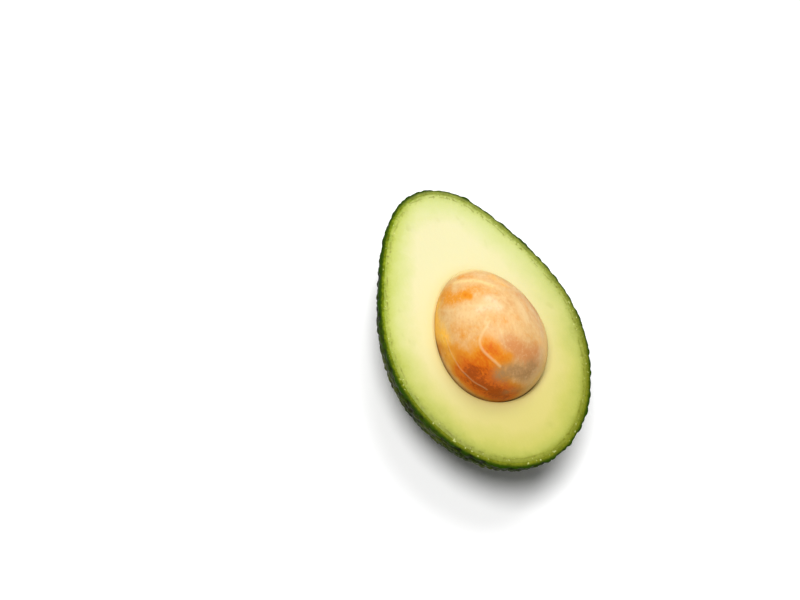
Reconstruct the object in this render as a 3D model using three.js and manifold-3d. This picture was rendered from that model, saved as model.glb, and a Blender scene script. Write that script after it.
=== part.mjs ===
// Half an avocado, cut lengthwise through the middle, with its seed still seated in the flesh.
// Units are millimetres. +X runs to the stem end, +Y across the cut face and +Z up, out of the cut.
// The origin is the middle of the small flat spot on the underside that the half rests on.

import * as THREE from "three";
import { mergeVertices } from "three/addons/utils/BufferGeometryUtils.js";
import Module from "manifold-3d";

// Fruit
const FRUIT_LENGTH = 100;
const FRUIT_RADIUS = 33.55;
// How the girth changes with s, from -1 at the blunt blossom end to 1 at the slim stem end, in powers of s.
const TAPER = [1, -0.178, -0.232, 0.071, 0.207];
// How far the middle of the length bows to +Y.
const BOW = 0.33;
// Where along s the half rests, and how much of its roundness is flat there.
const FLAT_SPOT_S = -0.12;
const FLAT_SPOT_DEPTH = 0.55;

// Skin
const SKIN_THICKNESS = 1.3;
const SKIN_RINGS = 36;
// The tallest pebble, the lowest one's share of it, and how far each strays, in steps of the net.
const PEBBLE_RISE = 0.75;
const PEBBLE_LEAST = 0.5;
const PEBBLE_SHIFT = 0.24;

// Stem scar, a sunken corky disc with a raised lip, turned down from the tip of the stem end
const SCAR_RADIUS = 4.4;
const SCAR_LIP = 1.7;
const SCAR_SINK = 0.55;
const SCAR_RISE = 0.45;
const SCAR_TURN = THREE.MathUtils.degToRad(18);

// Flesh
const GAP = 0.3;
const INNER_RINGS = 14;
// How far the shape that hollows the skin reaches out of the cut.
const COLLAR = 3;

// Seed, placed from the middle of the fruit's axis
const SEED_CENTRE = new THREE.Vector3(-4.4, -0.5, 1.8);
const SEED_RADII = new THREE.Vector3(22.8, 17.5, 18.4);
const SEED_TAPER = -0.14;
const SEED_DETAIL = 6;

const SKIN_COLOUR = 0x2f3a12;
const FLESH_COLOUR = 0xe6e59a;
const SEED_COLOUR = 0xc9803a;

const wasm = await Module();
wasm.setup();

// A repeatable random stream, from 0 to 1.
function randomStream(seed) {
  let state = seed;
  return () => {
    state = (state + 0x6d2b79f5) | 0;
    let t = Math.imul(state ^ (state >>> 15), 1 | state);
    t = (t + Math.imul(t ^ (t >>> 7), 61 | t)) ^ t;
    return ((t ^ (t >>> 14)) >>> 0) / 2 ** 32;
  };
}

const taperAt = (s) => TAPER.reduce((sum, k, power) => sum + k * s ** power, 0);

// The point of the fruit's surface in a direction, moved in by inset; the cut plane is z = 0 here.
function fruitPoint(direction, inset = 0) {
  const s = direction.x;
  const girth = FRUIT_RADIUS * taperAt(s) - inset;
  return new THREE.Vector3(
    (FRUIT_LENGTH / 2 - inset) * s,
    BOW * (1 - s * s) + girth * direction.y,
    girth * direction.z,
  );
}

// The outward normal there, close enough to raise low relief along.
function fruitNormal(direction) {
  const girth = FRUIT_RADIUS * taperAt(direction.x);
  return new THREE.Vector3(
    direction.x / (FRUIT_LENGTH / 2),
    direction.y / girth,
    direction.z / girth,
  ).normalize();
}

// A triangular net of directions over the lower half of a sphere, in rings of 6, 12, 18 and so on.
// The last ring lies in the cut plane. Each third point is a crest, with six hollows round it.
const SECTORS = [
  [1, 0],
  [0, 1],
  [-1, 1],
  [-1, 0],
  [0, -1],
  [1, -1],
];

function hexNet(rings, shift = () => [0, 0]) {
  const points = [{ direction: new THREE.Vector3(0, 0, -1), crest: true }];
  for (let ring = 1; ring <= rings; ring++) {
    for (let sector = 0; sector < 6; sector++) {
      const corner = SECTORS[sector];
      const along = SECTORS[(sector + 2) % 6];
      for (let step = 0; step < ring; step++) {
        const column = corner[0] * ring + along[0] * step;
        const row = corner[1] * ring + along[1] * step;
        const [outward, round] = shift();
        const free = ring < rings ? 1 : 0;
        const polar = ((ring + free * outward) / rings) * (Math.PI / 2);
        const turn = ((sector * ring + step + round) / (6 * ring)) * 2 * Math.PI;
        const direction = new THREE.Vector3(
          Math.sin(polar) * Math.cos(turn),
          Math.sin(polar) * Math.sin(turn),
          free ? -Math.cos(polar) : 0,
        );
        points.push({ direction, crest: (column - row) % 3 === 0 });
      }
    }
  }
  return points;
}

// The triangles of that net, facing away from its middle.
function hexFaces(rings) {
  const start = (ring) => (ring === 0 ? 0 : 1 + 3 * ring * (ring - 1));
  const at = (ring, sector, step) =>
    ring === 0 ? 0 : start(ring) + ((sector * ring + step) % (6 * ring));
  const faces = [];
  for (let ring = 1; ring <= rings; ring++) {
    for (let sector = 0; sector < 6; sector++) {
      for (let step = 0; step < ring; step++) {
        const inner = at(ring - 1, sector, step);
        const outer = at(ring, sector, step + 1);
        faces.push(inner, outer, at(ring, sector, step));
        if (step < ring - 1) {
          faces.push(inner, at(ring - 1, sector, step + 1), outer);
        }
      }
    }
  }
  return faces;
}

// A closed bowl: the net's points as its underside, a collar up from its rim, and a lid of triangles.
function bowlGeometry(rings, points, collar = 0) {
  const faces = hexFaces(rings);
  const rimCount = 6 * rings;
  const rimStart = points.length - rimCount;
  let lidStart = rimStart;
  if (collar > 0) {
    lidStart = points.length;
    for (let i = 0; i < rimCount; i++) {
      points.push(points[rimStart + i].clone().setZ(collar));
    }
    for (let i = 0; i < rimCount; i++) {
      const next = (i + 1) % rimCount;
      faces.push(rimStart + i, rimStart + next, lidStart + next);
      faces.push(rimStart + i, lidStart + next, lidStart + i);
    }
  }
  const middle = points.length;
  points.push(new THREE.Vector3(0, 0, collar));
  for (let i = 0; i < rimCount; i++) {
    faces.push(lidStart + i, lidStart + ((i + 1) % rimCount), middle);
  }
  const geometry = new THREE.BufferGeometry().setFromPoints(points);
  geometry.setIndex(faces);
  return geometry;
}

function solidOf(geometry) {
  const bare = geometry.clone();
  bare.deleteAttribute("normal");
  bare.deleteAttribute("uv");
  const merged = mergeVertices(bare);
  return new wasm.Manifold(
    new wasm.Mesh({
      numProp: 3,
      vertProperties: merged.attributes.position.array,
      triVerts: new Uint32Array(merged.index.array),
    }),
  );
}

function geometryOf(solid) {
  const mesh = solid.getMesh();
  const geometry = new THREE.BufferGeometry();
  geometry.setAttribute(
    "position",
    new THREE.BufferAttribute(new Float32Array(mesh.vertProperties), 3),
  );
  geometry.setIndex(new THREE.BufferAttribute(new Uint32Array(mesh.triVerts), 1));
  geometry.computeVertexNormals();
  return geometry;
}

const scarCentre = fruitPoint(
  new THREE.Vector3(Math.cos(SCAR_TURN), 0, -Math.sin(SCAR_TURN)),
);

// How far the skin stands out from the plain shape: pebbles, but a dish with a lip at the stem scar.
function skinRelief(point, crest, random) {
  const share = PEBBLE_LEAST + (1 - PEBBLE_LEAST) * random();
  const pebble = crest ? PEBBLE_RISE * share : 0;
  const away = point.distanceTo(scarCentre) - SCAR_RADIUS;
  if (away < 0) return -SCAR_SINK;
  if (away < SCAR_LIP) return SCAR_RISE;
  return pebble;
}

const floorZ =
  fruitPoint(new THREE.Vector3(FLAT_SPOT_S, 0, -Math.sqrt(1 - FLAT_SPOT_S ** 2))).z +
  FLAT_SPOT_DEPTH;

const innerPoints = (inset) =>
  hexNet(INNER_RINGS).map(({ direction }) => fruitPoint(direction, inset));

// The pebbled skin: the relief outside, cut flat where the half rests, less the smooth hollow inside.
function skinGeometry() {
  const random = randomStream(7);
  const shift = () => [
    PEBBLE_SHIFT * (2 * random() - 1),
    PEBBLE_SHIFT * (2 * random() - 1),
  ];
  const outside = hexNet(SKIN_RINGS, shift).map(({ direction, crest }) => {
    const point = fruitPoint(direction);
    const rise = skinRelief(point, crest, random);
    point.addScaledVector(fruitNormal(direction), rise);
    point.z = Math.max(point.z, floorZ);
    return point;
  });
  const hollow = innerPoints(SKIN_THICKNESS);
  return geometryOf(
    solidOf(bowlGeometry(SKIN_RINGS, outside)).subtract(
      solidOf(bowlGeometry(INNER_RINGS, hollow, COLLAR)),
    ),
  );
}

// The seed's egg shape about its own middle, grown by a margin, with its wide end to the blossom end.
function seedShape(margin = 0) {
  const geometry = new THREE.IcosahedronGeometry(1, SEED_DETAIL);
  const position = geometry.attributes.position;
  for (let i = 0; i < position.count; i++) {
    const unit = new THREE.Vector3().fromBufferAttribute(position, i);
    const wide = 1 + SEED_TAPER * unit.x;
    position.setXYZ(
      i,
      (SEED_RADII.x + margin) * unit.x,
      (SEED_RADII.y * wide + margin) * unit.y,
      (SEED_RADII.z * wide + margin) * unit.z,
    );
  }
  return geometry;
}

function fleshGeometry() {
  const body = solidOf(
    bowlGeometry(INNER_RINGS, innerPoints(SKIN_THICKNESS + GAP)),
  );
  const seat = seedShape(GAP).translate(...SEED_CENTRE.toArray());
  return geometryOf(body.subtract(solidOf(seat)));
}

function piece(name, geometry, color, roughness) {
  const material = new THREE.MeshStandardMaterial({
    color,
    roughness,
    metalness: 0,
    flatShading: true,
  });
  const mesh = new THREE.Mesh(geometry, material);
  mesh.name = name;
  return mesh;
}

const skin = piece("skin", skinGeometry(), SKIN_COLOUR, 0.45);
const flesh = piece("flesh", fleshGeometry(), FLESH_COLOUR, 0.5);
const seed = piece("seed", seedShape(), SEED_COLOUR, 0.4);
seed.position.copy(SEED_CENTRE);

const avocadoHalf = new THREE.Group();
avocadoHalf.add(skin, flesh, seed);
avocadoHalf.position.set(
  (-FLAT_SPOT_S * FRUIT_LENGTH) / 2,
  -BOW * (1 - FLAT_SPOT_S ** 2),
  -floorZ,
);

export default avocadoHalf;
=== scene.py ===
import math

import bpy
import numpy as np
from mathutils import Matrix, Vector, kdtree, noise


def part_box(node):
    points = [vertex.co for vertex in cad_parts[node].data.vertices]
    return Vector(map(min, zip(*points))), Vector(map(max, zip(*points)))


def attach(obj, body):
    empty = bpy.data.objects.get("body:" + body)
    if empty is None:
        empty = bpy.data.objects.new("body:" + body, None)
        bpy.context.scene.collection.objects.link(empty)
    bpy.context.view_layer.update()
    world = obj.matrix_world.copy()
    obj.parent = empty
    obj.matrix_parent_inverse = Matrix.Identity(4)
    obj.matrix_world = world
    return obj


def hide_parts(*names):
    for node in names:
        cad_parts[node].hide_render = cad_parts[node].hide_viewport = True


bl_info = {
    "name": "Halved Avocado",
    "version": (1, 0, 0),
    "blender": (4, 5, 0),
    "location": "3D View > Sidebar > Avocado",
    "description": "Dresses the halved avocado's skin, flesh and seed",
    "category": "Object",
}

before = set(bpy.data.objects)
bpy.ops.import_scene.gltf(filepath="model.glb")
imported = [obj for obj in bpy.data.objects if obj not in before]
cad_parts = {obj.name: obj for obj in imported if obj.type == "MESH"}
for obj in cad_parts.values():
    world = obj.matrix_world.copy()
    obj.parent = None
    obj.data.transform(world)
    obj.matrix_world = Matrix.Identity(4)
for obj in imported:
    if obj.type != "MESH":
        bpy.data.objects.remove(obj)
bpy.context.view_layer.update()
CUT_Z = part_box("flesh")[1].z
MM = 0.001


def paint(code):
    """The linear colour of a hex code, as a colour property holds it."""
    levels = [int(code[i : i + 2], 16) / 255 for i in (0, 2, 4)]
    return tuple(v / 12.92 if v <= 0.04045 else ((v + 0.055) / 1.055) ** 2.4 for v in levels)


# Properties


def size(name, default, description):
    return bpy.props.FloatProperty(
        name=name, default=default, description=description, unit="LENGTH", precision=5
    )


def angle(name, degrees, description):
    return bpy.props.FloatProperty(
        name=name, default=math.radians(degrees), description=description, subtype="ANGLE"
    )


def triple(name, default, description):
    """Three lengths, given in millimetres."""
    return bpy.props.FloatVectorProperty(
        name=name, default=[v * MM for v in default], description=description, subtype="TRANSLATION"
    )


def colour(name, code, description):
    return bpy.props.FloatVectorProperty(
        name=name, default=paint(code), description=description, subtype="COLOR", min=0, max=1
    )


class AvocadoFruit(bpy.types.PropertyGroup):
    length: size("Length", 100 * MM, "From the blossom end to the stem end, under the pebbles")
    radius: size("Radius", 33.55 * MM, "Half the girth at mid length, under the pebbles")
    taper: bpy.props.FloatVectorProperty(
        name="Taper",
        description="How the girth changes from the blossom end to the stem end, in powers",
        size=5,
        default=(1, -0.178, -0.232, 0.071, 0.207),
    )
    bow: size("Bow", 0.33 * MM, "How far the middle of the length bows to +Y")
    rest: bpy.props.FloatProperty(
        name="Rest",
        description="Where the half rests, from -1 at the blossom end to 1 at the stem end",
        default=-0.12,
    )
    skin: size("Skin thickness", 1.3 * MM, "Thickness of the peel under its pebbles")
    pebble_pitch: size("Pebble pitch", 3.5 * MM, "Room that the largest pebbles keep to the next")
    pebble_rise: size("Pebble height", 0.75 * MM, "Height of the tallest pebbles")
    bevel: size("Bevel", 0.7 * MM, "How far the cut drops beside the skin at the blossom end")
    scar_radius: size("Scar radius", 4.4 * MM, "Radius of the corky stem scar")
    scar_turn: angle("Scar turn", 18, "How far the scar sits below the cut, round from the tip")


class AvocadoSeed(bpy.types.PropertyGroup):
    middle: triple("Middle", (-4.4, -0.5, 1.8), "The seed's middle, from the middle of the fruit's axis")
    radii: triple("Radii", (22.8, 17.5, 18.4), "The seed's half length, half width and half depth")
    taper: bpy.props.FloatProperty(
        name="Taper",
        description="How much slimmer than the middle the stem end is",
        default=-0.14,
    )
    vein_rise: size("Vein height", 0.16 * MM, "How far the veins stand out of the seed")
    least_gap: size("Least gap", 0.05 * MM, "Gap to the flesh where the seed sits tight")
    most_gap: size("Most gap", 0.3 * MM, "Gap to the flesh at the blossom end")


class AvocadoColours(bpy.types.PropertyGroup):
    # Partly the skin's own dark ground, partly painted shade in the hollows between the pebbles.
    skin_deep_and_hollow_shade: colour("Skin deep", "0E1204", "The skin between pebbles")
    skin_green: colour("Skin green", "28350A", "The pebbles")
    skin_olive: colour("Skin olive", "4A5210", "Lighter patches")
    # Partly the pebbles' own pale specks, partly painted glints on their tops.
    skin_tip_and_glint: colour("Skin tip", "76823A", "Specks on the pebbles")
    skin_rim: colour("Skin rim", "244002", "The skin just below the cut")
    skin_plum: colour("Skin plum", "241710", "Ripe purple-brown patches")
    scar: colour("Scar", "A98A4A", "The corky stem scar")
    scar_lip: colour("Scar lip", "7A4A22", "The scar's raised lip")
    stem_rim: colour("Stem end: rim", "6C7437", "Flesh touching the skin at the stem end")
    stem_green: colour("Stem end: green", "929D40", "Flesh 1.4 mm in")
    stem_lime: colour("Stem end: lime", "B2BB64", "Flesh 2.2 mm in")
    stem_light: colour("Stem end: light", "C2C87E", "Flesh 4 mm in")
    stem_cream: colour("Stem end: cream", "CBCD8E", "Flesh 7 mm in")
    stem_pale: colour("Stem end: pale", "D7D1A2", "Flesh 12 mm in")
    flank_rim: colour("Flank: rim", "304306", "Flesh touching the skin on the +Y flank")
    flank_moss: colour("Flank: moss", "5B6C0C", "Flesh 0.8 mm in")
    flank_green: colour("Flank: green", "84961F", "Flesh 1.4 mm in")
    flank_lime: colour("Flank: lime", "A2AD3C", "Flesh 2.2 mm in")
    flank_light: colour("Flank: light", "B6BE5D", "Flesh 3.4 mm in")
    flank_cream: colour("Flank: cream", "C5C97F", "Flesh 6 mm in")
    blossom_rim: colour("Blossom end: rim", "4F580F", "Flesh touching the skin at the blossom end")
    blossom_moss: colour("Blossom end: moss", "777E1E", "Flesh 1.4 mm in")
    blossom_green: colour("Blossom end: green", "929836", "Flesh 2.6 mm in")
    blossom_lime: colour("Blossom end: lime", "A8AB48", "Flesh 4.2 mm in")
    blossom_straw: colour("Blossom end: straw", "BAB658", "Flesh 7.5 mm in")
    blossom_butter: colour("Blossom end: butter", "C6BC6B", "Flesh 12 mm in")
    # Olive specks in the cut, and also the painted shade line along the bevel.
    strip_olive_and_shade_line: colour("Cut edge: olive", "6B6A0E", "Specks in the cut along the skin")
    strip_bead: colour("Cut edge: beads", "CCD288", "Moist beads in the cut along the skin")
    # Painted shade and painted warm light bounced from the seed, on the flesh round the seat.
    seed_shade_and_bounce: colour("Flesh by the seed", "D5C17F", "Painted shade and bounced light by the seed")
    seed_tan: colour("Seed tan", "DAAE72", "The seed's coat")
    seed_cream: colour("Seed cream", "E4C48E", "Veins and pale patches")
    # Pale, gold and straw are partly the seed's own colour, partly painted light that brightens its steep
    # flanks.
    seed_pale: colour("Seed pale", "F0D894", "The pale stem end")
    seed_gold: colour("Seed gold", "FFBE44", "The golden flank")
    seed_straw: colour("Seed straw", "EFBE72", "The far flank")
    seed_amber: colour("Seed amber", "DC8C20", "Warm patches")
    # A painted highlight on the seed's top, not a patch of its coat.
    seed_light: colour("Seed light", "EBD0AE", "A painted highlight")
    seed_rust: colour("Seed rust", "D0620A", "Dark orange patches")
    # Partly the seed's dark patches, partly painted shade at its edge beside the flesh.
    seed_brown_and_edge_shade: colour("Seed brown", "A84A02", "Dark patches")
    seed_rose: colour("Seed rose", "CB8850", "Reddish patches")
    seed_grey: colour("Seed grey", "AA8050", "The bloomed patch")
    floor: colour("Floor", "FCFCFC", "The floor")


class AvocadoStage(bpy.types.PropertyGroup):
    aim: triple("Aim", (23.0, 21.65, 33.36), "What the camera looks at, in the plane of the cut")
    distance: size("Distance", 819 * MM, "From the aim to the camera")
    azimuth: angle("Azimuth", -143.1, "Where the camera stands")
    elevation: angle("Elevation", 65.0, "How high it stands")
    roll: angle("Roll", 31.4, "How far it is rolled")
    lens: bpy.props.FloatProperty(
        name="Lens", description="Focal length", default=112.5, min=1, subtype="DISTANCE_CAMERA"
    )
    floor_width: size("Floor width", 6, "Width of the floor")


# Meshes

# A single unit direction, straight down.
DOWN = np.array([[0.0, 0.0, -1.0]])


def loop_directions(count, polar=math.pi / 2):
    """Unit directions in a level loop, at an angle from straight down."""
    turn = np.arange(count) * (math.tau / count)
    flat = math.sin(polar)
    return np.column_stack([flat * np.cos(turn), flat * np.sin(turn), np.full(count, -math.cos(polar))])


def lower_loops(count, loops):
    """Loops of unit directions between the level one and straight down."""
    return [loop_directions(count, math.pi / 2 * (1 - i / (loops + 1))) for i in range(1, loops + 1)]


def hex_net(rings):
    """Unit directions over the lower half of a sphere, in rings of 6, 12, 18 and so on."""
    nets = [loop_directions(6 * ring, math.pi / 2 * ring / rings) for ring in range(1, rings + 1)]
    return np.concatenate([DOWN, *nets])


def hex_faces(rings):
    """The triangles of that net, facing away from its middle."""
    faces = []
    for ring in range(1, rings + 1):
        outer_start = 1 + 3 * ring * (ring - 1)
        inner_count = max(1, 6 * (ring - 1))
        inner_start = 1 + 3 * (ring - 1) * (ring - 2) if ring > 1 else 0
        for sector in range(6):
            for step in range(ring):
                inner = inner_start + (sector * (ring - 1) + step) % inner_count
                outer = outer_start + sector * ring + step
                outer_next = outer_start + (sector * ring + step + 1) % (6 * ring)
                faces.append((inner, outer_next, outer))
                if step < ring - 1:
                    inner_next = inner_start + (sector * (ring - 1) + step + 1) % inner_count
                    faces.append((inner, inner_next, outer_next))
    return faces


def loop_faces(first, second, count):
    """Quads between two loops of as many points."""
    after = [(i + 1) % count for i in range(count)]
    return [(first + i, first + after[i], second + after[i], second + i) for i in range(count)]


def fan_faces(loop, tip, count):
    """Triangles from a loop to one point."""
    return [(loop + i, loop + (i + 1) % count, tip) for i in range(count)]


def flipped(faces):
    """The faces turned to look the other way."""
    return [(face[0], *face[:0:-1]) for face in faces]


def closed(start, faces, loops, tip):
    """A start that goes on from its last points, loop by loop, and ends in a tip: its points and faces."""
    count = len(loops[0])
    last = len(start) - count
    faces = list(faces)
    for _ in loops:
        faces += loop_faces(last, last + count, count)
        last += count
    faces += fan_faces(last, last + count, count)
    return np.concatenate([start, *loops, tip]), faces


def mesh_piece(name, points, faces, attributes, material):
    """A smooth mesh object, with one float attribute of its points for each named array."""
    mesh = bpy.data.meshes.new(name)
    mesh.from_pydata(points.tolist(), [], faces)
    mesh.polygons.foreach_set("use_smooth", np.ones(len(mesh.polygons), bool))
    for key, values in attributes.items():
        mesh.attributes.new(key, "FLOAT", "POINT").data.foreach_set("value", values.astype(np.float32))
    mesh.validate()
    mesh.update()
    mesh.materials.append(material)
    piece = bpy.data.objects.new(name, mesh)
    bpy.context.scene.collection.objects.link(piece)
    return piece


def smooth_step(value, low, high):
    """From 0 at the low value to 1 at the high one, level at both."""
    share = np.clip((value - low) / (high - low), 0, 1)
    return share * share * (3 - 2 * share)


def search_tree(points):
    """A tree that finds the points nearest to a place."""
    tree = kdtree.KDTree(len(points))
    for i, point in enumerate(points):
        tree.insert(point, i)
    tree.balance()
    return tree


def nearest(points, targets):
    """Each point's distance to the nearest of the targets."""
    tree = search_tree(targets)
    return np.array([tree.find(p)[2] for p in points])


def rough(points, pitch, variant):
    """Smooth noise from -1 to 1 at the points, with features of about the pitch, new in each variant."""
    shift = Vector((variant * 17.3, variant * 5.1, variant * 9.7))
    return np.array([noise.noise(Vector(p) / pitch + shift) for p in points])


# Shape of the fruit

# How far in from the skin the cut starts to drop, and the stem end's share of the drop.
BEVEL_REACH = 3.6 * MM
BEVEL_LEAST = 0.25


def girth_at(fruit, s):
    """Half the girth at s, from -1 at the blossom end to 1 at the stem end."""
    return fruit.radius * sum(k * s**power for power, k in enumerate(fruit.taper))


def fruit_middle(fruit):
    """The middle of the fruit's axis, in the cut plane, from the spot that the half rests on."""
    return np.array([-fruit.rest * fruit.length / 2, -fruit.bow * (1 - fruit.rest**2), CUT_Z])


def fruit_points(fruit, directions, inset=0.0):
    """The fruit's plain surface in unit directions, moved in by inset."""
    s = directions[:, 0]
    girth = girth_at(fruit, s) - inset
    x = (fruit.length / 2 - inset) * s
    y = fruit.bow * (1 - s * s) + girth * directions[:, 1]
    return np.column_stack([x, y, girth * directions[:, 2]]) + fruit_middle(fruit)


def fruit_normals(fruit, directions):
    """The outward normals there, close enough to raise low relief along."""
    girth = girth_at(fruit, directions[:, 0])
    normals = directions / np.column_stack([np.full(len(girth), fruit.length / 2), girth, girth])
    return normals / np.linalg.norm(normals, axis=1)[:, None]


def cut_drop(fruit, points, depth):
    """How far the cut face drops at a depth from the skin's outer edge: most at the blossom end."""
    s = (points[:, 0] - fruit_middle(fruit)[0]) / (fruit.length / 2)
    share = BEVEL_LEAST + (1 - BEVEL_LEAST) * smooth_step(-s, -0.2, 0.9)
    return fruit.bevel * share * (1 - smooth_step(depth, 0, BEVEL_REACH))


# Nodes


def node(tree, kind, inputs=None, **settings):
    """A shader node with its settings, and its inputs linked or set."""
    made = tree.nodes.new("ShaderNode" + kind)
    for key, value in settings.items():
        setattr(made, key, value)
    for socket, value in (inputs or {}).items():
        if isinstance(value, bpy.types.NodeSocket):
            tree.links.new(value, made.inputs[socket])
        else:
            made.inputs[socket].default_value = value
    return made


def rgba(value):
    return value if isinstance(value, bpy.types.NodeSocket) else (*value, 1)


def mix(tree, factor, first, second):
    """The first colour going over to the second."""
    return node(
        tree, "Mix", {0: factor, 6: rgba(first), 7: rgba(second)}, data_type="RGBA"
    ).outputs[2]


def grade(tree, value, low, high, to_low=0.0, to_high=1.0):
    """A value eased from one range to another."""
    return node(
        tree,
        "MapRange",
        {0: value, 1: low, 2: high, 3: to_low, 4: to_high},
        interpolation_type="SMOOTHSTEP",
    ).outputs[0]


def maths(tree, operation, *values):
    return node(tree, "Math", dict(enumerate(values)), operation=operation).outputs[0]


def plus(tree, first, second):
    return maths(tree, "ADD", first, second)


def times(tree, first, second):
    return maths(tree, "MULTIPLY", first, second)


def painted(tree, key):
    """The float attribute that a mesh carries."""
    return node(tree, "Attribute", attribute_name=key).outputs["Fac"]


def place_axes(tree):
    """The outputs X, Y and Z of the place in the object's own space."""
    return node(tree, "SeparateXYZ", {0: node(tree, "TexCoord").outputs["Object"]}).outputs


def ramp(tree, value, stops):
    """A colour that runs through the stops, each a place up to RAMP_REACH and a colour."""
    made = node(tree, "ValToRGB", {0: maths(tree, "DIVIDE", value, RAMP_REACH)})
    elements = made.color_ramp.elements
    for i, (place, colour) in enumerate(stops):
        element = elements[i] if i < 2 else elements.new(1)
        element.position = place / RAMP_REACH
        element.color = rgba(colour)
    return made.outputs[0]


def mottle(tree, pitch, detail=2.0, roughness=0.5, stretch=None):
    """Noise from 0 to 1 in the object's own space, with features of about the pitch."""
    place = node(tree, "TexCoord").outputs["Object"]
    if stretch:
        place = node(tree, "Mapping", {0: place, 3: stretch}).outputs[0]
    return node(
        tree, "TexNoise", {0: place, "Scale": 1 / pitch, "Detail": detail, "Roughness": roughness}
    ).outputs["Fac"]


def swing(tree, *settings):
    """Noise as from mottle, but from -0.5 to 0.5."""
    return maths(tree, "SUBTRACT", mottle(tree, *settings), 0.5)


def bump(tree, height, strength, distance):
    return node(
        tree, "Bump", {"Strength": strength, "Distance": distance, "Height": height}
    ).outputs["Normal"]


def new_material(name):
    """A material whose tree holds only the shader and the output."""
    material = bpy.data.materials.new(name)
    material.use_nodes = True
    tree = material.node_tree
    return material, tree, tree.nodes["Principled BSDF"]


def finish(tree, shader, base, roughness, normal, specular):
    """Link the colour, the roughness and the bump, and set how much the surface mirrors."""
    tree.links.new(base, shader.inputs["Base Color"])
    tree.links.new(roughness, shader.inputs["Roughness"])
    tree.links.new(normal, shader.inputs["Normal"])
    shader.inputs["Specular IOR Level"].default_value = specular


def let_light_in(shader, weight, reaches):
    """Light that comes out beside where it went in, with its reach for red, green and blue in millimetres."""
    shader.inputs["Subsurface Weight"].default_value = weight
    shader.inputs["Subsurface Radius"].default_value = reaches
    shader.inputs["Subsurface Scale"].default_value = MM


# Skin

SKIN_RINGS = 150
SKIN_INNER_LOOPS = 12
# How far the skin's outer edge is turned down at the cut, and how far below the cut the turn starts.
SKIN_EDGE = 0.18 * MM
SKIN_BEND = 4 * MM
# Loops over the skin's cut edge, each a share of its width and how much of the turn is left there.
CUT_BAND = ((0.08, 0.24), (0.25, 0), (0.45, 0), (0.7, 0), (1.0, 0))
# The relief that the cut edge and the inside count as, and the depth in millimetres of the outside.
INSIDE_RELIEF = 0.6
OUTSIDE_DEPTH = -1.0

# How many places are tried for a pebble, and how many pebbles are looked at round a point.
PEBBLE_TRIES = 24000
PEBBLE_NEIGHBOURS = 5
# They are strewn to a little above the cut: the Z of the highest directions tried.
PEBBLE_TOP = 0.1
# A pebble's half width as a share of the room it keeps, and the least room as a share of the pitch.
PEBBLE_SPREAD = 0.85
PEBBLE_LEAST_ROOM = 0.5
# The lowest pebble's share of the height, and how steeply a pebble rises from its edge.
PEBBLE_LEAST_HEIGHT = 0.35
PEBBLE_POWER = 1.2
# How much longer pebbles are by the scar, and where that fades, in radii of the scar.
PEBBLE_STRETCH = 0.8
STRETCH_FADE = (1.5, 4.5)

# Low waves and fine wrinkles of the skin, and the scar's sunken middle, raised lip and wrinkles.
SKIN_WAVE = 0.12 * MM
SKIN_WAVE_PITCH = 9 * MM
WRINKLE = 0.05 * MM
WRINKLE_PITCH = 1.1 * MM
SCAR_SINK = 0.55 * MM
SCAR_RISE = 0.45 * MM
SCAR_WRINKLE = 0.12 * MM
# Where the scar's dish ends, its lip rises and falls, and the pebbles begin, in radii of the scar.
DISH_END = (0.85, 1.05)
LIP_START = (0.85, 1.08)
LIP_END = (1.2, 1.5)
PEBBLES_START = (1.05, 1.6)

# The zone below the cut where the skin is greener: where it starts and ends, and how far that strays.
GREEN_START = CUT_Z - 4.5 * MM
GREEN_END = CUT_Z - 0.5 * MM
GREEN_STRAY = 6 * MM


def scar_middle(fruit):
    """The middle of the stem scar, on the plain surface."""
    turn = fruit.scar_turn
    return fruit_points(fruit, np.array([[math.cos(turn), 0.0, -math.sin(turn)]]))[0]


def strewn_pebbles(fruit):
    """Middles and half widths of pebbles strewn over the skin, each clear of the others by its own size."""
    chance = np.random.default_rng(11)
    directions = chance.normal(size=(PEBBLE_TRIES, 3))
    directions /= np.linalg.norm(directions, axis=1)[:, None]
    directions = directions[directions[:, 2] < PEBBLE_TOP]
    points = fruit_points(fruit, directions)
    room = fruit.pebble_pitch * chance.uniform(PEBBLE_LEAST_ROOM, 1.0, len(points))
    kept = np.empty_like(points)
    widths = np.empty(len(points))
    count = 0
    for point, need in zip(points, room):
        away = np.linalg.norm(kept[:count] - point, axis=1)
        if count == 0 or away.min() > need:
            kept[count] = point
            widths[count] = need * PEBBLE_SPREAD
            count += 1
    return kept[:count], widths[:count]


def pebble_field(fruit, points):
    """Rounded pebbles that run together, from 0 between them to 1 on the tallest; longer by the scar."""
    middles, widths = strewn_pebbles(fruit)
    heights = np.random.default_rng(12).uniform(PEBBLE_LEAST_HEIGHT, 1.0, len(middles))
    tree = search_tree(middles)
    near = np.array([[hit[1] for hit in tree.find_n(p, PEBBLE_NEIGHBOURS)] for p in points])
    offsets = points[:, None, :] - middles[near]
    outward = points - scar_middle(fruit)
    away = np.linalg.norm(outward, axis=1)
    outward /= np.maximum(away, MM)[:, None]
    along = (offsets * outward[:, None, :]).sum(axis=2)
    stretch = PEBBLE_STRETCH * (1 - smooth_step(away / fruit.scar_radius, *STRETCH_FADE))
    squares = (offsets**2).sum(axis=2) - stretch[:, None] * along**2
    domes = heights[near] * np.maximum(1 - squares / widths[near] ** 2, 0) ** PEBBLE_POWER
    return np.minimum((domes**3).sum(axis=1) ** (1 / 3), 1.0)


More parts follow.
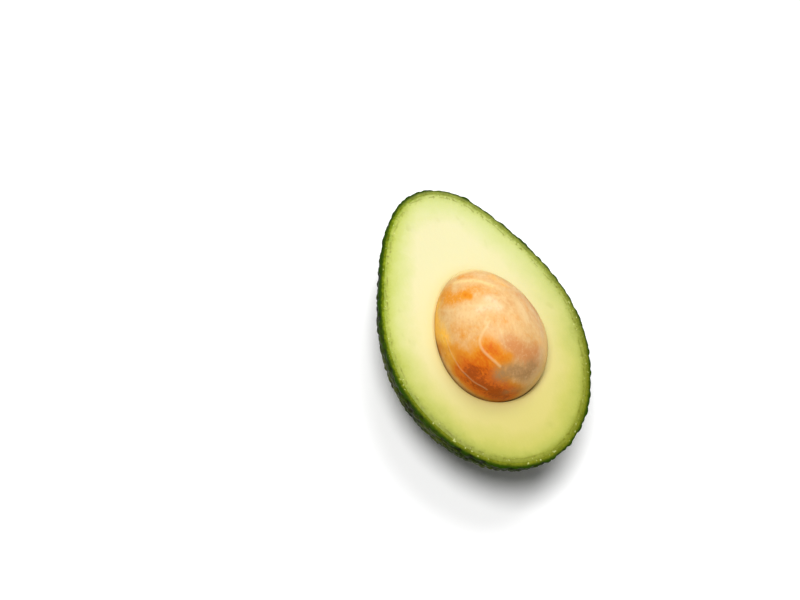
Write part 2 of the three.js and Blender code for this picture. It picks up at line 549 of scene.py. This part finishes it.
def skin_surface(fruit, directions):
    """The pebbled outside: its points, and its pebbles, the scar's dish and its lip, each from 0 to 1."""
    plain = fruit_points(fruit, directions)
    pebbles = pebble_field(fruit, plain)
    waves = rough(plain, SKIN_WAVE_PITCH, 1)
    wrinkles = rough(plain, WRINKLE_PITCH, 2)
    away = np.linalg.norm(plain - scar_middle(fruit), axis=1) / fruit.scar_radius
    dish = 1 - smooth_step(away, *DISH_END)
    lip = smooth_step(away, *LIP_START) * (1 - smooth_step(away, *LIP_END))
    clear = smooth_step(away, *PEBBLES_START)
    rise = clear * (fruit.pebble_rise * pebbles + WRINKLE * wrinkles + SKIN_WAVE * waves)
    rise += SCAR_RISE * lip - dish * (SCAR_SINK + SCAR_WRINKLE * wrinkles)
    return plain + fruit_normals(fruit, directions) * rise[:, None], pebbles, dish, lip


def cut_band(fruit, rim, inner_rim):
    """Loops over the skin's cut edge from outside in, and the depth of their points."""
    inward = inner_rim - rim
    width = np.linalg.norm(inward, axis=1)
    inward /= width[:, None]
    loops = []
    depths = []
    for share, turned in CUT_BAND:
        loop = rim + inward * (share * width)[:, None]
        depth = fruit.skin - (1 - share) * width
        loop[:, 2] = CUT_Z - cut_drop(fruit, loop, depth) - SKIN_EDGE * turned
        loops.append(loop)
        depths.append(depth)
    return loops, depths


def build_skin(fruit, colours):
    count = 6 * SKIN_RINGS
    directions = hex_net(SKIN_RINGS)
    outside, relief, dish, lip = skin_surface(fruit, directions)
    inner_rim = fruit_points(fruit, directions[-count:], fruit.skin)
    band, depths = cut_band(fruit, outside[-count:], inner_rim)
    brink = smooth_step(outside[:, 2], CUT_Z - SKIN_BEND, CUT_Z)
    outside[:, 2] -= brink * (SKIN_EDGE + cut_drop(fruit, outside, np.zeros(len(outside))))
    inside = [fruit_points(fruit, loop, fruit.skin) for loop in lower_loops(count, SKIN_INNER_LOOPS)]
    bottom = fruit_points(fruit, DOWN, fruit.skin)
    points, faces = closed(outside, hex_faces(SKIN_RINGS), band + inside, bottom)
    points[:, 2] = np.maximum(points[:, 2], 0)
    added = len(points) - len(outside)
    inner_depth = np.full(added - len(band) * count, fruit.skin)
    depth = np.concatenate([*depths, inner_depth]) / MM
    attributes = {
        "relief": np.concatenate([relief, np.full(added, INSIDE_RELIEF)]),
        "depth": np.concatenate([np.full(len(outside), OUTSIDE_DEPTH), depth]),
        "scar": np.concatenate([dish, np.zeros(added)]),
        "scar_lip": np.concatenate([lip, np.zeros(added)]),
    }
    return mesh_piece("avocado_skin", points, faces, attributes, skin_material(fruit, colours))


def scar_colour(tree, colours, fine, base):
    """The scar's brown lip and corky middle."""
    base = mix(tree, painted(tree, "scar_lip"), base, colours.scar_lip)
    cork = mix(tree, grade(tree, fine, 0.3, 0.7, 0.35, 1.0), colours.scar_lip, colours.scar)
    return mix(tree, painted(tree, "scar"), base, cork)


def skin_colour(tree, colours, fine):
    """Dark between the pebbles, partly painted shade in the hollows, and green on them, with patches, flecks
    that are partly painted glints, and greener below the cut.
    """
    relief = painted(tree, "relief")
    patches = mottle(tree, 14 * MM, 3)
    crest = grade(tree, plus(tree, relief, times(tree, fine, 0.6)), 0.1, 0.9)
    # Dark between the pebbles: partly the skin's own ground, partly painted shade in the hollows.
    base = mix(tree, crest, colours.skin_deep_and_hollow_shade, colours.skin_green)
    olive = times(tree, grade(tree, patches, 0.42, 0.66), crest)
    base = mix(tree, olive, base, colours.skin_olive)
    plum = grade(tree, mottle(tree, 12 * MM, 3, 0.6, (1, 1.3, 0.8)), 0.52, 0.68, 0, 0.8)
    base = mix(tree, plum, base, colours.skin_plum)
    # Pale specks on the pebbles' tops: partly their own specks, partly painted glints.
    fleck_and_glint = grade(tree, mottle(tree, 0.7 * MM, 1), 0.62, 0.74, 0, 0.6)
    fleck_and_glint = times(tree, fleck_and_glint, grade(tree, relief, 0.25, 0.8))
    base = mix(tree, fleck_and_glint, base, colours.skin_tip_and_glint)
    base = scar_colour(tree, colours, fine, base)
    strayed = times(tree, maths(tree, "SUBTRACT", patches, 0.5), GREEN_STRAY)
    height = plus(tree, place_axes(tree)["Z"], strayed)
    green = times(tree, grade(tree, height, GREEN_START, GREEN_END, 0, 0.85), crest)
    return mix(tree, green, base, colours.skin_rim)


def skin_material(fruit, colours):
    material, tree, shader = new_material("avocado_skin")
    fine = mottle(tree, 1.1 * MM, 4, 0.6)
    base = skin_colour(tree, colours, fine)
    depth = painted(tree, "depth")
    cut = rim_marks(tree, colours, depth, flesh_colour(tree, fruit, colours, depth))
    frayed_depth = plus(tree, depth, times(tree, fine, 0.8))
    base = mix(tree, grade(tree, frayed_depth, 0.2, 1.1), base, cut)
    roughness = grade(tree, fine, 0.3, 0.7, 0.22, 0.42)
    finish(tree, shader, base, roughness, bump(tree, fine, 0.35, 0.25 * MM), 0.006)
    return material


# Seed

SEED_RINGS = 150
SEED_UNDER_LOOPS = 24
# Low waves, and shorter ones with a share of their height.
SEED_WAVE = 0.22 * MM
SEED_WAVE_PITCH = 11 * MM
SHORT_WAVE_PITCH = 4.5 * MM
SHORT_WAVE_SHARE = 0.4
# How many points a stroke has from one of its places to the next.
STROKE_STEPS = 24


def seed_points(seed, directions, margin=0.0):
    """The seed's egg in unit directions, grown by a margin."""
    wide = 1 + seed.taper * directions[:, 0]
    radii = np.array(seed.radii)
    x = (radii[0] + margin) * directions[:, 0]
    y = (radii[1] * wide + margin) * directions[:, 1]
    z = (radii[2] * wide + margin) * directions[:, 2]
    middle = fruit_middle(bpy.context.scene.avocado_fruit) + np.array(seed.middle)
    return np.column_stack([x, y, z]) + middle


def dome_directions(seed, places):
    """Unit directions of points on the seed's top, given in millimetres from its middle, seen from above."""
    x, y = np.array(places, float).T * MM
    u = x / seed.radii[0]
    v = y / (seed.radii[1] * (1 + seed.taper * u))
    top = np.sqrt(np.maximum(1 - u * u - v * v, 0.0))
    directions = np.column_stack([u, v, top])
    return directions / np.linalg.norm(directions, axis=1)[:, None]


def through(places):
    """A smooth curve through hand-placed points."""
    if len(places) < 3:
        return np.linspace(places[0], places[-1], STROKE_STEPS)
    p = np.array(places, float)
    p = np.concatenate([[2 * p[0] - p[1]], p, [2 * p[-1] - p[-2]]])
    t = np.linspace(0, 1, STROKE_STEPS, endpoint=False)[:, None]
    spans = []
    for a, b, c, d in zip(p[:-3], p[1:-2], p[2:-1], p[3:]):
        bend = (2 * a - 5 * b + 4 * c - d) * t**2 + (3 * b - a - 3 * c + d) * t**3
        spans.append(0.5 * (2 * b + (c - a) * t + bend))
    return np.concatenate(spans)


# Markings on the seed's top, in millimetres from its middle: X to the stem end, Y across.
# Each is a stroke through some places, with its half width and its strength.
VEINS = (
    ([(12.5, 13.3), (9.6, 12.6), (8.5, 10), (7.2, 7), (5.6, 3.8), (4.4, 1), (2.3, -1.8)], 0.9, 0.6),
    ([(-0.5, 5), (-3.6, 8.8), (-5.5, 10), (-8, 9.9), (-11, 8.6), (-14.8, 6.4)], 0.6, 0.8),
    ([(2.5, 16.3), (-3, 16.8), (-8, 16.3), (-11.5, 15.2), (-15, 13.4), (-18.5, 10.4)], 0.5, 0.55),
    ([(18.5, 5.8), (15, 0.8), (9.5, -4.4), (3, -8), (-5, -7.6)], 1.1, 0.35),
    ([(-4.5, 3), (-6.8, 3.1), (-9.2, 3.2), (-11.1, 2.8), (-12.3, 1.5)], 0.6, 0.4),
)
MARKINGS = {
    # Partly the pale stem end, partly painted light on the steep flank.
    "pale": (
        ([(22, 3), (21.5, 0), (20.3, -4), (17.6, -8), (13.5, -11.3), (9, -13.2)], 2.6, 1),
        ([(18.5, 6), (16.5, 3.2), (14.3, 0), (11, -2.5)], 1.2, 0.5),
    ),
    # Partly the golden flank, partly painted light on the steep flank.
    "gold": (
        ([(17.5, 11), (14, 13.5), (8, 15.8), (0, 17), (-5, 17.3)], 3.9, 1),
        ([(15, -5.5), (11, -6.8)], 2.4, 0.35),
    ),
    # Partly the far flank's straw colour, partly painted light on the steep flank.
    "straw": (
        ([(-13, -12.6), (-8, -15), (-3, -16)], 3.4, 0.8),
        ([(-21, -6.5), (-18, -10.5), (-13, -13.4)], 2.6, 0.8),
        ([(-8, -10), (-11, -10)], 2.6, 0.4),
    ),
    "cream": (
        ([(6, 11), (4.5, 8), (5, 5)], 3, 0.6),
        # This stroke is part of the painted highlight.
        ([(6.5, 1.2), (3, 0)], 2.4, 0.5),
        ([(2, -7.5), (-4, -7.5)], 2.2, 0.6),
        ([(-3, -2), (-7, -3)], 2.6, 0.35),
    ),
    "amber": (
        ([(17, 9.8), (13.5, 10), (12.5, 8)], 3, 1),
        ([(12.5, 5), (12, 2.5)], 2.4, 0.6),
        ([(10, 0)], 2, 0.3),
        ([(19.5, 4), (18, 1)], 1.8, 0.6),
        ([(12, 6.6), (10, 6)], 1.3, 0.6),
        ([(2, 13.5), (-4, 12.4), (-7, 11.5)], 4.2, 0.5),
        ([(12, 13)], 2.6, 0.45),
        ([(1, 17.4), (-3, 17.5), (-8, 17)], 3.2, 0.75),
        ([(-2, 16.5), (-5, 15.8)], 2.6, 0.7),
        ([(-1, 2.5), (-2, 1)], 2.8, 0.35),
    ),
    # The painted highlight on the seed's top.
    "light": (
        ([(7, 1.5), (5, 0.5), (3, 0)], 2, 0.45),
        ([(5, 6), (4, 3)], 1.8, 0.35),
    ),
    "rose": (
        ([(-10.8, 2.2), (-13.5, -2), (-15, -5.5)], 4, 0.95),
        ([(-8, 1)], 2.6, 0.3),
        ([(5.5, -10)], 1.9, 0.45),
        ([(3, -4.2)], 2.6, 0.35),
        ([(-6.5, 13)], 1.5, 0.45),
        ([(4, -13.5), (-0.5, -14)], 2.4, 0.6),
    ),
    "ember": (
        # Runs to the seed's edge, where its brown is partly painted shade.
        ([(-13, 13.6), (-16.5, 11.8), (-19.5, 9), (-21.8, 5)], 6.2, 1),
        ([(-3.5, 15.8), (-9, 15)], 3.6, 0.36),
        ([(-5, 8), (-8.5, 7.5)], 3.2, 0.3),
        ([(-9, 7.5), (-12.2, 5.8), (-13.4, 4)], 3, 0.5),
        ([(-15.5, 8.5), (-17.5, 7)], 3.4, 0.4),
        ([(-8.5, 10.5), (-12, 10.5)], 2.8, 0.45),
        ([(-8.5, 16.8), (-12, 15.6), (-15.5, 13.5), (-19, 10)], 3.2, 0.5),
        ([(12, 6.6), (10.5, 6)], 1.5, 0.5),
    ),
    "bloom": (
        ([(-17, 6), (-17.6, 2), (-19.2, -1.5), (-18, -4)], 3.5, 0.9),
        ([(-21.5, 4.5), (-22.3, 0)], 2, 0.5),
    ),
}


def strokes_field(points, seed, strokes):
    """How strongly each point belongs to the strokes, from 0 to 1."""
    clear = np.ones(len(points))
    for places, half_width, strength in strokes:
        line = seed_points(seed, dome_directions(seed, through(places)))
        away = nearest(points, line) / (half_width * MM)
        clear *= 1 - strength * np.exp(-away * away)
    return 1 - clear


def build_seed(seed, colours):
    dome = hex_net(SEED_RINGS) * np.array([1, 1, -1])
    under = lower_loops(6 * SEED_RINGS, SEED_UNDER_LOOPS)
    directions, faces = closed(dome, hex_faces(SEED_RINGS), under, DOWN)
    points = seed_points(seed, directions)
    vein = strokes_field(points, seed, VEINS)
    outward = directions / np.array(seed.radii)
    outward /= np.linalg.norm(outward, axis=1)[:, None]
    waves = rough(points, SEED_WAVE_PITCH, 4) + SHORT_WAVE_SHARE * rough(points, SHORT_WAVE_PITCH, 5)
    rise = seed.vein_rise * vein + SEED_WAVE * waves
    points = points + outward * rise[:, None]
    attributes = {"vein": vein}
    for key, strokes in MARKINGS.items():
        attributes[key] = strokes_field(points, seed, strokes)
    return mesh_piece("avocado_seed", points, flipped(faces), attributes, seed_material(colours))


def frayed(tree, key, ragged, share=1.6):
    """A painted field with its slopes broken up by noise."""
    field = painted(tree, key)
    return plus(tree, field, times(tree, times(tree, field, ragged), share))


def seed_coat(tree, colours, cloud, grain):
    """Tan with the painted pale, golden and reddish patches, clouded and finely marbled; the pale and golden
    ones are partly painted light on the steep flanks, and one light patch is a painted highlight.
    """
    base = mix(tree, grade(tree, cloud, 0.0, 0.2, 0, 0.45), colours.seed_tan, colours.seed_amber)
    base = mix(tree, grade(tree, cloud, 0.0, -0.2, 0, 0.5), base, colours.seed_cream)
    for key in ("pale", "gold", "straw", "cream", "amber", "light", "rose"):
        share = grade(tree, frayed(tree, key, cloud), 0, 1)
        base = mix(tree, share, base, getattr(colours, "seed_" + key))
    base = mix(tree, grade(tree, grain, 0.0, 0.2, 0, 0.3), base, colours.seed_cream)
    return mix(tree, grade(tree, grain, 0.0, -0.2, 0, 0.3), base, colours.seed_rose)


def seed_material(colours):
    material, tree, shader = new_material("avocado_seed")
    cloud = swing(tree, 3 * MM, 5, 0.65)
    grain = swing(tree, 0.8 * MM, 3, 0.6, (0.6, 1, 1))
    both = plus(tree, cloud, grain)
    base = seed_coat(tree, colours, cloud, grain)
    ember = frayed(tree, "ember", both, 0.9)
    base = mix(tree, grade(tree, ember, 0.08, 0.5), base, colours.seed_amber)
    base = mix(tree, grade(tree, ember, 0.32, 0.8), base, colours.seed_rust)
    # The darkest brown, at the seed's edge by the flesh, is partly painted shade.
    base = mix(tree, grade(tree, ember, 0.72, 1.0), base, colours.seed_brown_and_edge_shade)
    bloom = grade(tree, frayed(tree, "bloom", both), 0, 1.1)
    base = mix(tree, bloom, base, colours.seed_grey)
    vein = grade(tree, painted(tree, "vein"), 0.1, 1.0, 0, 0.55)
    vein = times(tree, vein, plus(tree, 1.0, both))
    base = mix(tree, vein, base, colours.seed_cream)
    finish(tree, shader, base, grade(tree, bloom, 0, 1, 0.42, 0.7), bump(tree, both, 0.25, 0.25 * MM), 0.12)
    let_light_in(shader, 0.1, (2.0, 1.0, 0.4))
    return material


# Flesh

FLESH_COUNT = 720
FACE_LOOPS = 64
WALL_LOOPS = 14
SEAT_LOOPS = 10
# How far the last loop of the wall stops short of the cut, in steps from loop to loop.
WALL_STOP = 0.3
# How much closer together the loops of the face are at its two edges.
FACE_CROWDING = 0.4
# Low waves on the face, and how far in from the seat and from the skin they reach their full height.
FACE_WAVE = 0.12 * MM
FACE_WAVE_PITCH = 13 * MM
FACE_WAVE_START = 4 * MM
FACE_WAVE_DEPTH = 6 * MM
# The rounded edge of the seat.
SEAT_EDGE_DROP = 0.3 * MM
SEAT_EDGE_WIDTH = 0.9 * MM
# The depth in millimetres that the colours of the flesh run to.
RAMP_REACH = 14


def seat_gap(seed, directions):
    """The gap from seed to flesh, tight at the stem end and wider at the blossom end."""
    wide = smooth_step(-directions[:, 0] + 0.4 * directions[:, 1], -0.4, 1.0)
    return seed.least_gap + (seed.most_gap - seed.least_gap) * wide


def face_loops(fruit, rim, seat):
    """Loops over the cut face, from the skin to the seat."""
    loops = []
    for i in range(FACE_LOOPS + 1):
        t = i / FACE_LOOPS
        t = (1 - FACE_CROWDING) * t + FACE_CROWDING * smooth_step(t, 0, 1)
        loop = rim * (1 - t) + seat * t
        depth = np.linalg.norm(loop - rim, axis=1) + fruit.skin
        edge = np.linalg.norm(loop - seat, axis=1)
        calm = smooth_step(edge, 0, FACE_WAVE_START) * smooth_step(depth, fruit.skin, FACE_WAVE_DEPTH)
        loop[:, 2] = CUT_Z - cut_drop(fruit, loop, depth)
        loop[:, 2] += FACE_WAVE * rough(loop, FACE_WAVE_PITCH, 6) * calm
        loop[:, 2] -= SEAT_EDGE_DROP * (1 - smooth_step(edge, 0, SEAT_EDGE_WIDTH))
        loops.append(loop)
    return loops


def build_flesh(fruit, seed, colours):
    level = loop_directions(FLESH_COUNT)
    rim = fruit_points(fruit, level, fruit.skin)
    gap = seat_gap(seed, level)
    seat = seed_points(seed, level, gap)
    seat[:, 2] = CUT_Z
    polars = [math.pi / 2 * i / (WALL_LOOPS + WALL_STOP) for i in range(1, WALL_LOOPS + 1)]
    wall = [fruit_points(fruit, loop_directions(FLESH_COUNT, polar), fruit.skin) for polar in polars]
    hollow = [seed_points(seed, loop, gap) for loop in lower_loops(FLESH_COUNT, SEAT_LOOPS)]
    start = np.concatenate([fruit_points(fruit, DOWN, fruit.skin), wall[0]])
    points, faces = closed(
        start,
        flipped(fan_faces(1, 0, FLESH_COUNT)),
        wall[1:] + face_loops(fruit, rim, seat) + hollow,
        seed_points(seed, DOWN, seed.most_gap),
    )
    attributes = {
        "depth": (nearest(points, rim) + fruit.skin) / MM,
        "seat": nearest(points, seat) / MM,
    }
    return mesh_piece("avocado_flesh", points, faces, attributes, flesh_material(fruit, colours))


def flesh_colour(tree, fruit, colours, depth):
    """Green at the skin to pale inside by the depth in millimetres, broken up by noise."""
    wobble = swing(tree, 3 * MM, 3)
    cloud = swing(tree, 11 * MM, 3)
    fine = swing(tree, 0.7 * MM, 3, 0.6)
    spread = grade(tree, depth, 1.3, 8, 0.6, 9.0)
    shifted = plus(tree, depth, times(tree, cloud, spread))
    shifted = plus(tree, shifted, times(tree, wobble, 1.3))
    shifted = plus(tree, shifted, times(tree, fine, 1.7))
    axes = place_axes(tree)
    along = maths(tree, "MULTIPLY_ADD", axes["Y"], 0.2, axes["X"])
    middle = fruit_middle(fruit)[0]
    blossom = grade(tree, along, middle + 0.3 * fruit.length, middle - 0.42 * fruit.length)
    flank = grade(tree, axes["Y"], -4 * MM, 12 * MM)
    stem = (
        (0.2, colours.stem_rim),
        (1.4, colours.stem_green),
        (2.2, colours.stem_lime),
        (4, colours.stem_light),
        (7, colours.stem_cream),
        (12, colours.stem_pale),
    )
    side = (
        (0.2, colours.flank_rim),
        (0.8, colours.flank_moss),
        (1.4, colours.flank_green),
        (2.2, colours.flank_lime),
        (3.4, colours.flank_light),
        (6, colours.flank_cream),
        (12, colours.stem_pale),
    )
    bottom = (
        (0.2, colours.blossom_rim),
        (1.4, colours.blossom_moss),
        (2.6, colours.blossom_green),
        (4.2, colours.blossom_lime),
        (7.5, colours.blossom_straw),
        (12, colours.blossom_butter),
    )
    upper = mix(tree, flank, ramp(tree, shifted, stem), ramp(tree, shifted, side))
    return mix(tree, blossom, upper, ramp(tree, shifted, bottom))


def rim_marks(tree, colours, depth, base):
    """Olive specks, a broken line of painted shade where the cut bends down, and moist beads in the strip of
    the cut along the skin.
    """
    strip = times(tree, grade(tree, depth, 0.3, 0.9), grade(tree, depth, 3.6, 2.4))
    speck = grade(tree, mottle(tree, 1.0 * MM, 2, 0.6), 0.56, 0.7, 0, 0.6)
    base = mix(tree, times(tree, speck, strip), base, colours.strip_olive_and_shade_line)
    # A broken line about 2.4 mm in from the skin's edge: painted shade where the cut bends down.
    strayed = plus(tree, depth, times(tree, swing(tree, 6 * MM, 2), 2.0))
    line = times(tree, grade(tree, strayed, 2.0, 2.4), grade(tree, strayed, 2.8, 2.4))
    broken_shade = grade(tree, mottle(tree, 2.2 * MM, 2), 0.42, 0.6, 0, 0.5)
    base = mix(tree, times(tree, line, broken_shade), base, colours.strip_olive_and_shade_line)
    bead = grade(tree, mottle(tree, 0.95 * MM, 0), 0.73, 0.82, 0, 0.6)
    return mix(tree, times(tree, bead, strip), base, colours.strip_bead)


def flesh_material(fruit, colours):
    material, tree, shader = new_material("avocado_flesh")
    depth = painted(tree, "depth")
    base = rim_marks(tree, colours, depth, flesh_colour(tree, fruit, colours, depth))
    smudge = grade(tree, mottle(tree, 5.5 * MM, 2, 0.5, (0.7, 1, 1)), 0.6, 0.76, 0, 0.3)
    base = mix(tree, times(tree, smudge, grade(tree, depth, 16, 3)), base, colours.blossom_green)
    # Painted shade and bounced light on the flesh near the seat.
    seed_shade_and_bounce = grade(tree, painted(tree, "seat"), 4.5, 0.0, 0, 0.5)
    base = mix(tree, seed_shade_and_bounce, base, colours.seed_shade_and_bounce)
    fibre = mottle(tree, 0.9 * MM, 3, 0.6, (0.35, 1, 1))
    roughness = grade(tree, fibre, 0.3, 0.7, 0.4, 0.52)
    finish(tree, shader, base, roughness, bump(tree, fibre, 0.12, 0.2 * MM), 0.2)
    let_light_in(shader, 0.15, (1.6, 1.2, 0.5))
    return material


# Stage


def compass(azimuth, elevation):
    """The direction from the object of something at an azimuth and an elevation, as the views count them."""
    flat = math.cos(elevation)
    return Vector((math.sin(azimuth) * flat, -math.cos(azimuth) * flat, math.sin(elevation)))


def build_camera(stage):
    back = compass(stage.azimuth, stage.elevation)
    level = Vector((0, 0, 1)).cross(back).normalized()
    turned = Matrix.Rotation(stage.roll, 3, back) @ level
    over = back.cross(turned)
    camera = bpy.data.objects.new("camera", bpy.data.cameras.new("camera"))
    bpy.context.scene.collection.objects.link(camera)
    camera.data.lens = stage.lens
    camera.data.sensor_width = 36
    camera.data.dof.use_dof = False
    camera.data.clip_end = 20
    axes = Matrix((turned, over, back)).transposed()
    camera.matrix_world = Matrix.Translation(Vector(stage.aim) + back * stage.distance) @ axes.to_4x4()
    bpy.context.scene.camera = camera


LIGHT_DISTANCE = 2.5
# Each light's azimuth and elevation in degrees, its width in metres and its power in watts.
LIGHTS = {
    "key": (60, 62, 1.37, 31.2),
    "top": (166.5, 73.3, 1.04, 53.4),
}


def build_light(name, azimuth, elevation, width, watts):
    direction = compass(math.radians(azimuth), math.radians(elevation))
    lamp = bpy.data.lights.new(name, "AREA")
    lamp.shape = "DISK"
    lamp.size = width
    lamp.energy = watts
    holder = bpy.data.objects.new(name, lamp)
    bpy.context.scene.collection.objects.link(holder)
    holder.location = Vector((0, 0, CUT_Z)) + direction * LIGHT_DISTANCE
    holder.rotation_mode = "QUATERNION"
    holder.rotation_quaternion = (-direction).to_track_quat("-Z", "Y")


def build_floor(stage, colours):
    half = stage.floor_width / 2
    corners = np.array([(-half, -half, 0), (half, -half, 0), (half, half, 0), (-half, half, 0)], float)
    material, tree, shader = new_material("floor")
    shader.inputs["Base Color"].default_value = rgba(colours.floor)
    shader.inputs["Roughness"].default_value = 0.8
    shader.inputs["Specular IOR Level"].default_value = 0.1
    floor = mesh_piece("floor", corners, [(0, 1, 2, 3)], {}, material)


# The strength of the white world as a light, beside 1 as the backdrop, and its share in mirrored light.
WORLD_FILL = 0.18
WORLD_MIRRORED = 0.4


def build_world():
    world = bpy.data.worlds.new("studio")
    bpy.context.scene.world = world
    world.use_nodes = True
    tree = world.node_tree
    background = tree.nodes["Background"]
    path = node(tree, "LightPath")
    seen = grade(tree, path.outputs["Is Camera Ray"], 0, 1, WORLD_FILL, 1.0)
    mirrored = grade(tree, path.outputs["Is Glossy Ray"], 0, 1, 1.0, WORLD_MIRRORED)
    tree.links.new(times(tree, seen, mirrored), background.inputs["Strength"])
    background.inputs["Color"].default_value = (1, 1, 1, 1)


# Operators


class AVOCADO_OT_skin(bpy.types.Operator):
    """Build the pebbled skin with its cut edge and stem scar"""

    bl_idname = "avocado.skin"
    bl_label = "Skin"

    def execute(self, context):
        scene = context.scene
        skin = build_skin(scene.avocado_fruit, scene.avocado_colours)
        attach(skin, "root")
        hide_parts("skin")
        return {"FINISHED"}


class AVOCADO_OT_flesh(bpy.types.Operator):
    """Build the flesh with its cut face and the seat of the seed"""

    bl_idname = "avocado.flesh"
    bl_label = "Flesh"

    def execute(self, context):
        scene = context.scene
        flesh = build_flesh(scene.avocado_fruit, scene.avocado_seed, scene.avocado_colours)
        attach(flesh, "root")
        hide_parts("flesh")
        return {"FINISHED"}


class AVOCADO_OT_seed(bpy.types.Operator):
    """Build the veined seed"""

    bl_idname = "avocado.seed"
    bl_label = "Seed"

    def execute(self, context):
        scene = context.scene
        seed = build_seed(scene.avocado_seed, scene.avocado_colours)
        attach(seed, "root")
        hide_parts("seed")
        return {"FINISHED"}


class AVOCADO_OT_stage(bpy.types.Operator):
    """Set the camera, the lights, the world and the floor"""

    bl_idname = "avocado.stage"
    bl_label = "Stage"

    def execute(self, context):
        scene = context.scene
        scene.view_settings.view_transform = "Standard"
        build_camera(scene.avocado_stage)
        for name, settings in LIGHTS.items():
            build_light(name, *settings)
        build_floor(scene.avocado_stage, scene.avocado_colours)
        build_world()
        return {"FINISHED"}


class AVOCADO_PT_sidebar(bpy.types.Panel):
    """Lists the sizes and colours, and the pieces to build"""

    bl_label = "Avocado"
    bl_space_type = "VIEW_3D"
    bl_region_type = "UI"
    bl_category = "Avocado"

    def draw(self, context):
        layout = self.layout
        scene = context.scene
        for group in (scene.avocado_fruit, scene.avocado_seed, scene.avocado_colours, scene.avocado_stage):
            box = layout.box()
            for key in group.bl_rna.properties.keys():
                if key not in {"rna_type", "name"}:
                    box.prop(group, key)
        for operator in OPERATORS:
            layout.operator(operator.bl_idname)


GROUPS = {
    "avocado_fruit": AvocadoFruit,
    "avocado_seed": AvocadoSeed,
    "avocado_colours": AvocadoColours,
    "avocado_stage": AvocadoStage,
}
OPERATORS = (AVOCADO_OT_stage, AVOCADO_OT_skin, AVOCADO_OT_flesh, AVOCADO_OT_seed)


def register():
    for group in GROUPS.values():
        bpy.utils.register_class(group)
    for name, group in GROUPS.items():
        setattr(bpy.types.Scene, name, bpy.props.PointerProperty(type=group))
    for operator in OPERATORS:
        bpy.utils.register_class(operator)
    bpy.utils.register_class(AVOCADO_PT_sidebar)


def unregister():
    bpy.utils.unregister_class(AVOCADO_PT_sidebar)
    for operator in reversed(OPERATORS):
        bpy.utils.unregister_class(operator)
    for name in GROUPS:
        delattr(bpy.types.Scene, name)
    for group in reversed(GROUPS.values()):
        bpy.utils.unregister_class(group)


def main():
    register()
    bpy.ops.avocado.stage()
    bpy.ops.avocado.skin()
    bpy.ops.avocado.flesh()
    bpy.ops.avocado.seed()


if __name__ == "__main__":
    main()
